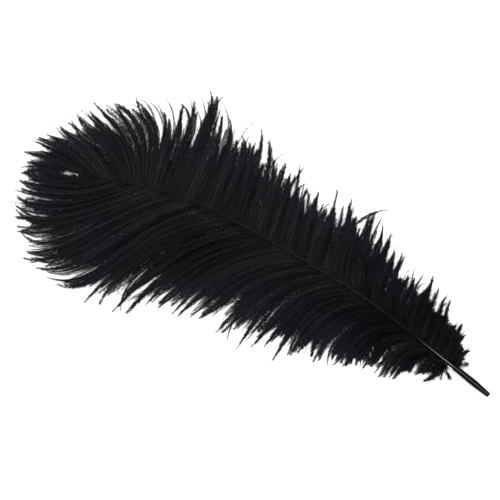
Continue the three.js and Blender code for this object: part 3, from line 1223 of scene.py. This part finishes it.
        # adds the painted light and shade along the barb to the barbule's tone
        tone += self.shading(barbs.paths[barb, 0, 0], share)
        piece = maker.make(
            f"barbules_{self.side.name.lower()}_{number + 1}",
            points.reshape(-1, 3),
            [self.blade_faces(volume)],
            {"tone": np.repeat(tone, points.shape[1]), "reach": np.repeat(share, points.shape[1])},
            smooth=False,
        )
        return self.dress(piece, material)

    def dress(self, piece: Object, material: Material) -> Object:
        """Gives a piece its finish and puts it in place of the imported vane."""
        piece.data.materials.append(material)
        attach(piece, "root")
        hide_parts(self.node)
        return piece


LEFT_VANE = Vane(
    side=Side.LEFT,
    node="vane_left",
    barbules_per_mm=2.1,
    barbule_crowding=1.0,
    root_fill=0.1,
    locks=(
        (187, 192, -12, 0.3),
        (185.5, 189, -5, 0.3),
        (183.5, 187, 1, 0.2),
        (181, 183.5, 6, 0.2),
        (178, 180, 10, 0.2),
        (174.5, 176, 12, 0.15),
        (170, 170, 12, 0.1),
        (165, 164, 16, 0.15),
        (160, 159, 18, 0.2),
        (155, 153, 16, 0.15),
        (150, 148, 20, 0.15),
        (146, 143, 31, 0.3),
        (141, 137, 26, 0.15),
        (136, 132, 31, 0.15),
        (130, 125, 31, 0.25),
        (124, 117, 31, 0.1),
        (118, 112, 42, 0.1),
        (111, 106, 45, 0.3),
        (104, 98.5, 55, 0.35),
        (98, 92, 55, 0.48),
        (90, 80, 65, 0.4),
        (82, 72, 50, 0.05),
        (78, 67, 58, 0.05),
        (70, 61, 61, 0.2),
        (63, 56, 52, 0.05),
        (57, 51, 53, 0.05),
        (52.5, 46.5, 62, 0.25),
        (46, 40, 56, 0.05),
        (40, 33, 59, 0.05),
        (35, 29, 58, 0.3),
        (27, 20, 61, 0.1),
        (21.5, 15, 62, 0.14),
        (13.5, 5, 66, 0.12),
        (8, 1, 61, 0.3),
        (0, -6, 58, 0.1),
        (-5, -11, 67, 0.3),
        (-12, -18, 66, 0.15),
        (-19, -26, 74, 0.1),
        (-26, -33, 77, 0.12),
        (-34, -41, 76, 0.22),
        (-41, -49, 80, 0.2),
        (-49, -55, 85, 0.3),
        (-58, -65, 87, 0.45),
        (-71, -75, 98, 0.38),
        (-79, -88, 88, 0.38),
        (-85, -96, 86, 0.5),
        (-91, -106, 74, 0.5),
        (-93.5, -131, 70, 0.5),
        (-96, -132, 65, 0.45),
        (-99.5, -145, 61, 0.5),
        (-104, -157, 55, 0.42),
        (-109, -165, 48, 0.35),
        (-115, -170, 42, 0.25),
        (-121, -175, 35, 0.2),
        (-127, -179, 28, 0.2),
        (-132, -184, 20, 0.15),
        (-136, -191, 12, 0.2),
        (-138, -191, 5.5, 0.4),
        (-139, -195, -1, 0.35),
        (-139.7, -190, -7, 0.3),
    ),
    headings=(
        (188, 50, -10),
        (183, 75, 25),
        (176, 88, 60),
        (165, 95, 75),
        (150, 104, 85),
        (138, 116, 95),
        (105, 120, 98),
        (85, 112, 95),
        (60, 100, 95),
        (0, 95, 98),
        (-40, 96, 112),
        (-58, 94, 118),
        (-71, 95, 106),
        (-86, 97, 110),
        (-91, 100, 120),
        (-93, 102, 176),
        (-99, 106, 180),
        (-107, 112, 165),
        (-120, 121, 150),
        (-128, 138, 165),
        (-135, 160, 188),
        (-138, 168, 198),
        (-140, 182, 202),
    ),
    strays=(
        (188, 196, -13, 5, 0.8),
        (187.5, 192, -10, 20, 0.6),
        (186, 193, -2.5, 30, 0.8),
        (185, 193, 0, 30, 0.4),
        (182, 183.5, 8, 75, 0.7),
        (180.5, 185, 14, 50, 0.3),
        (179, 178, 14, 85, 0.9),
        (176, 176, 18, 60, 0.4),
        (166, 163, 27, 95, 0.9),
        (163, 160, 30, 80, 0.8),
        (161, 162, 30, 70, 0.4),
        (154, 151, 33, 88, 0.8),
        (147, 142, 39, 105, 0.9),
        (143, 140, 33.5, 20, 0.4),
        (140, 135, 38, 75, 0.6),
        (134, 126, 40, 110, 0.5),
        (131, 124, 44, 70, 0.4),
        (122, 113, 46, 95, 0.9),
        (119, 115, 45, 85, 0.7),
        (111, 103, 52, 115, 0.4),
        (106, 98, 56, 95, 1.0),
        (101, 91, 60, 110, 0.7),
        (99, 88, 62, 112, 0.5),
        (94, 86, 68.5, 84, 0.6),
        (91, 79, 67, 92, 1.0),
        (88, 77, 66, 85, 0.6),
        (64, 87, 73.5, 27, 0.6),
        (70, 58, 69, 105, 0.9),
        (71, 62, 64, 95, 0.8),
        (64, 54, 62, 105, 0.7),
        (53, 44.5, 72, 103, 0.75),
        (50, 47, 58, 95, 0.8),
        (39, 31, 64, 95, 0.8),
        (37, 25, 60, 125, 0.5),
        (34, 21.5, 63.5, 130, 0.6),
        (24, 17, 66, 60, 0.6),
        (12, 12.5, 77.5, 72, 0.75),
        (20, 9, 77.5, 108, 0.75),
        (13, 5, 68, 90, 0.8),
        (5, -2, 74, 97, 1.0),
        (4, -3, 71, 92, 0.8),
        (2, -5, 62, 75, 0.6),
        (-3, -11.5, 73, 115, 0.9),
        (-2, -8, 71, 105, 0.7),
        (-6, -5, 84, 50, 0.45),
        (-11, -21, 85, 125, 1.0),
        (-17, -30, 90.5, 115, 0.9),
        (-20, -31, 79, 95, 0.8),
        (-27, -37, 87, 80, 0.4),
        (-32, -43, 79.5, 150, 0.7),
        (-37, -32, 101, 40, 0.3),
        (-42, -50, 89, 90, 0.4),
        (-48, -56, 88, 125, 0.8),
        (-50, -70, 99, 158, 0.4),
        (-68, -70, 103, 65, 0.6),
        (-70, -74, 100, 115, 1.0),
        (-71, -80, 102.5, 128, 0.7),
        (-72, -77, 94, 130, 0.9),
        (-72.5, -87, 97, 152, 0.4),
        (-74, -85, 85, 155, 0.5),
        (-77, -93, 96, 122, 0.4),
        (-79, -96, 93.5, 140, 0.5),
        (-82, -97, 84, 165, 0.8),
        (-85, -116, 83, 182, 0.35),
        (-86, -120, 79.5, 155, 0.35),
        (-87, -126, 75, 190, 0.35),
        (-89, -133, 74, 130, 0.6),
        (-91, -137, 67.5, 195, 0.4),
        (-97, -145, 62.5, 185, 1.0),
        (-100, -152, 59, 175, 0.6),
        (-103, -161, 56, 160, 0.8),
        (-108, -168, 52, 130, 0.4),
        (-110, -169, 48, 160, 0.5),
        (-114, -170, 43, 130, 0.7),
        (-119, -174, 38, 140, 0.5),
        (-128, -184, 31, 125, 0.4),
        (-136, -194, 11, 190, 0.6),
        (-138, -194, 9, 180, 0.6),
        (-139, -196, -1, 185, 0.8),
        (-139.3, -190, -8, 195, 0.9),
        (-139.5, -193, -14, 215, 0.6),
        (-139.6, -191, -18, 220, 0.8),
        (-139.6, -176, -8, 205, 1.0),
    ),
)

RIGHT_VANE = Vane(
    side=Side.RIGHT,
    node="vane_right",
    root_aside=0.5,
    root_drop=0.7,
    root_fill=0.1,
    barb_wave=0.8,
    bright_share=0.2,
    pull=(0.5, 0.27),
    gather_mm=12.0,
    lock_gather=(0.1, 0.6),
    # painted light and shade: darker near the shaft than on the left vane, lighter at the ends
    painted_light_and_shade=((0.0, 0.05), (0.3, 0.05), (0.5, 0.2), (1.0, 0.85)),
    locks=(
        (179.5, 178, -30, 0.15),
        (177, 171, -33, 0.15),
        (174, 165, -34.5, 0.1),
        (171, 158, -35.5, 0.08),
        (168, 151, -40, 0.08),
        (163, 144, -44, 0.06),
        (158, 137, -46, 0.06),
        (152, 129, -45, 0.06),
        (146, 120, -48, 0.06),
        (140, 112, -50, 0.08),
        (134, 104, -53, 0.12),
        (128, 94, -55, 0.18),
        (121, 84, -57, 0.2),
        (114, 77, -57, 0.28),
        (107, 67, -58, 0.25),
        (101, 61, -60, 0.3),
        (95, 54, -62, 0.28),
        (87, 44, -62, 0.25),
        (80, 34, -66, 0.26),
        (73, 25, -68, 0.25),
        (67, 14, -67, 0.15),
        (60, 5, -68, 0.35),
        (49, -12, -62, 0.12),
        (42, -21, -64, 0.15),
        (34, -31, -67, 0.17),
        (26, -40, -67, 0.2),
        (18, -49, -69, 0.18),
        (10, -58, -72, 0.15),
        (2, -69, -79, 0.22),
        (-6, -79, -81, 0.2),
        (-14, -89, -77, 0.18),
        (-22, -98, -77, 0.2),
        (-30, -107, -81, 0.12),
        (-36, -124, -86, 0.2),
        (-44, -132, -85, 0.2),
        (-53, -145, -81, 0.3),
        (-62, -155, -78, 0.15),
        (-69, -162, -75, 0.1),
        (-76, -168, -68, 0.12),
        (-83, -175, -60, 0.14),
        (-90, -181, -50, 0.1),
        (-97, -186, -45, 0.12),
        (-104, -189, -39, 0.15),
        (-111, -189, -31, 0.12),
        (-118, -190, -24, 0.15),
        (-124, -189, -19, 0.15),
        (-130, -190, -17.5, 0.4),
        (-135, -191, -13, 0.35),
        (-138.5, -189, -10, 0.3),
    ),
    headings=(
        (180, 290, 295),
        (178.5, 258, 282),
        (176, 228, 268),
        (170, 206, 262),
        (165, 200, 262),
        (150, 192, 272),
        (130, 190, 280),
        (110, 196, 258),
        (80, 203, 244),
        (15, 212, 242),
        (-28, 214, 242),
        (-33, 214, 226),
        (-38, 215, 190),
        (-54, 216, 186),
        (-62, 217, 192),
        (-78, 221, 190),
        (-84, 222, 196),
        (-92, 225, 182),
        (-110, 228, 184),
        (-130, 220, 178),
        (-138.5, 212, 172),
    ),
    strays=(
        (180, 188.5, -29.5, 310, 0.55),
        (179.8, 188, -29.5, 325, 0.5),
        (179.6, 186.5, -28.5, 335, 0.5),
        (179, 182, -33, 290, 0.5),
        (178, 170, -39, 232, 0.8),
        (177.5, 174, -35, 238, 0.8),
        (174, 162, -38, 250, 0.5),
        (168, 148, -44, 245, 0.7),
        (165, 146, -47, 255, 0.8),
        (161, 143, -47, 250, 0.7),
        (157, 139, -48, 260, 0.9),
        (154, 135, -50, 250, 0.8),
        (150, 131, -50, 255, 0.6),
        (135, 105, -55, 240, 0.6),
        (131, 98, -57, 245, 0.7),
        (128, 93, -58, 290, 0.6),
        (124, 86, -58, 285, 0.7),
        (121, 82, -60.5, 265, 0.8),
        (108, 75, -59, 302, 0.4),
        (107, 65, -63, 280, 0.7),
        (103, 61, -64, 275, 0.7),
        (95, 52, -72.5, 260, 0.8),
        (86, 42, -65.5, 250, 0.8),
        (80, 33, -69, 250, 0.9),
        (71, 22, -76, 258, 0.8),
        (65, 12, -72.5, 285, 0.7),
        (58, 2, -71, 250, 0.8),
        (46, -15, -65.5, 225, 0.8),
        (41, -22, -68, 240, 0.6),
        (33, -31, -71.5, 250, 0.7),
        (28, -37, -71, 250, 0.7),
        (19, -48, -72, 240, 0.7),
        (11, -57, -74, 255, 0.7),
        (1, -69.5, -85.5, 250, 1.0),
        (-4, -75, -86.5, 290, 0.6),
        (-7, -80, -89, 250, 0.8),
        (-10, -83, -74, 280, 0.5),
        (-16, -92, -87.5, 265, 0.9),
        (-20, -96, -80, 240, 0.8),
        (-26, -104, -91.5, 250, 0.8),
        (-37, -138, -86, 185, 0.8),
        (-41, -129, -87, 184, 0.8),
        (-52, -149, -82, 192, 0.8),
        (-64, -154, -79.5, 215, 0.8),
        (-69, -161.5, -79, 195, 0.9),
        (-73, -167, -74.5, 190, 0.3),
        (-79, -171, -62, 155, 0.7),
        (-83, -175, -61.5, 215, 0.8),
        (-92, -183, -47, 150, 0.8),
        (-97, -186, -43, 150, 0.5),
        (-102, -193, -41.5, 188, 0.5),
        (-110, -191, -32.5, 190, 0.6),
        (-117, -190, -24.5, 185, 0.7),
        (-122, -190, -18, 190, 0.7),
        (-138, -187, -7, 168, 0.9),
        (-138.2, -180, -5, 160, 1.0),
        (-138.4, -173, -6.5, 165, 1.0),
    ),
)


# ------------------------------------------------------------------------------------ studio
@dataclass
class Studio:
    """A pale floor, soft light and the camera straight above the plume."""

    floor_colour: str = "#f4f4f4"
    floor_size: float = 6.0
    lens_mm: float = 85.0
    sensor_mm: float = 36.0
    view_mm: float = 400.0
    roll_degrees: float = 24.0
    room_brightness: float = 0.9
    light_watts: float = 20.0

    def build_floor(self) -> None:
        """Makes the floor as a flat square under the plume, in matt white paint with a fine grain."""
        half = self.floor_size / 2
        corners = [(-half, -half, 0), (half, -half, 0), (half, half, 0), (-half, half, 0)]
        mesh = bpy.data.meshes.new("floor")
        mesh.from_pydata(corners, [], [(0, 1, 2, 3)])
        floor = bpy.data.objects.new("floor", mesh)
        bpy.context.scene.collection.objects.link(floor)
        material, tree = new_material("matt_white_paint")
        grain = noise(tree, add_node(tree, "ShaderNodeTexCoord").outputs["Object"], 900.0)
        bump = add_node(tree, "ShaderNodeBump", {"Strength": 0.05, "Distance": 0.0001, "Height": grain})
        paint = {"Base Color": linear(self.floor_colour), "Roughness": 0.9, "Normal": bump.outputs[0]}
        finish_material(tree, paint)
        mesh.materials.append(material)

    def build_light(self) -> None:
        """Hangs a wide soft light overhead, a key light to one side, and a white room round them."""
        scene = bpy.context.scene
        world = bpy.data.worlds.new("white_room")
        world.use_nodes = True
        background = world.node_tree.nodes["Background"]
        background.inputs["Color"].default_value = (1, 1, 1, 1)
        background.inputs["Strength"].default_value = self.room_brightness
        scene.world = world
        self.area_light("overhead", (0.0, 0.0, 1.7), 1.6)
        self.area_light("key", (-0.35, 1.15, 0.95), 1.2)

    def area_light(self, name: str, at: Triple, size: float) -> None:
        """Hangs one square area light that points at the middle of the plume.

        Args:
            name: the light's name.
            at: where it hangs, in metres.
            size: the length of its side, in metres.
        """
        data = bpy.data.lights.new(name, "AREA")
        data.size = size
        data.energy = self.light_watts
        light = bpy.data.objects.new(name, data)
        light.location = at
        aim = np.zeros(3) - np.array(at)
        flat = math.hypot(aim[0], aim[1])
        light.rotation_euler = (math.atan2(flat, -aim[2]), 0, math.atan2(aim[1], aim[0]) - math.pi / 2)
        bpy.context.scene.collection.objects.link(light)

    def build_camera(self, shift: Array) -> None:
        """Hangs the camera over the middle of the view, rolled so that the plume lies across the frame.

        The height is the view's width times the lens length over the sensor's width.
        """
        data = bpy.data.cameras.new("camera")
        data.lens = self.lens_mm
        data.sensor_width = self.sensor_mm
        camera = bpy.data.objects.new("camera", data)
        height = self.view_mm * MM * self.lens_mm / self.sensor_mm
        camera.location = (shift[0] * MM, shift[1] * MM, height)
        camera.rotation_euler = (0, 0, math.radians(self.roll_degrees))
        bpy.context.scene.collection.objects.link(camera)
        bpy.context.scene.camera = camera

    def build(self, shift: Array) -> None:
        """Builds the floor, the lights and the camera."""
        self.build_floor()
        self.build_light()
        self.build_camera(shift)
        view = bpy.context.scene.view_settings
        view.view_transform = "Standard"
        view.look = "None"


def drawing_shift(shaft: Shaft) -> Array:
    """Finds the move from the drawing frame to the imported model's frame.

    Args:
        shaft: the rod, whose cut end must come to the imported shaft's end.

    Returns:
        The move in millimetres.
    """
    low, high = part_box("shaft")
    points = shaft.surface()[0].reshape(-1, 3)
    packed = np.array([high[0], low[1]]) / MM
    drawn = np.array([points[:, 0].max(), points[:, 1].min()])
    return np.array([*(packed - drawn), 0.0])


def main() -> None:
    """Builds the plume and its studio in order."""
    logging.basicConfig(level=logging.INFO, format="%(name)s: %(message)s")
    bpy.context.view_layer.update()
    line = ShaftLine()
    shaft = Shaft(line)
    shift = drawing_shift(shaft)
    LOG.info("shift %s", np.round(shift, 3))
    maker = PieceMaker(shift)
    shaft.build(maker, DyedQuillKeratin(groove_aside=shaft.groove_aside).material())
    faded_at = tuple(((np.array(FADED_LOCK) + shift) * MM).tolist())
    # The fibres' tone carries their painted sheen and painted light and shade as well as their dye
    barb_fibre = DyedFibre(
        "dyed_barb_keratin", "#101012", "#303033", 0.6, 0.03, violet_share=0.2, faded_at=faded_at
    )
    down_fibre = DyedFibre("dyed_barbule_down", "#09090b", "#19191b", 0.7, 0.02, faded_at=faded_at)
    barb_finish, down_finish = barb_fibre.material(), down_fibre.material()
    for vane in (LEFT_VANE, RIGHT_VANE):
        rng = np.random.default_rng(SEED + vane.side.value)
        barbs = vane.comb(line, rng)
        vane.build_barbs(maker, barbs, barb_finish)
        vane.build_barbules(maker, barbs, rng, down_finish)
    Studio().build(shift)


if __name__ == "__main__":
    main()
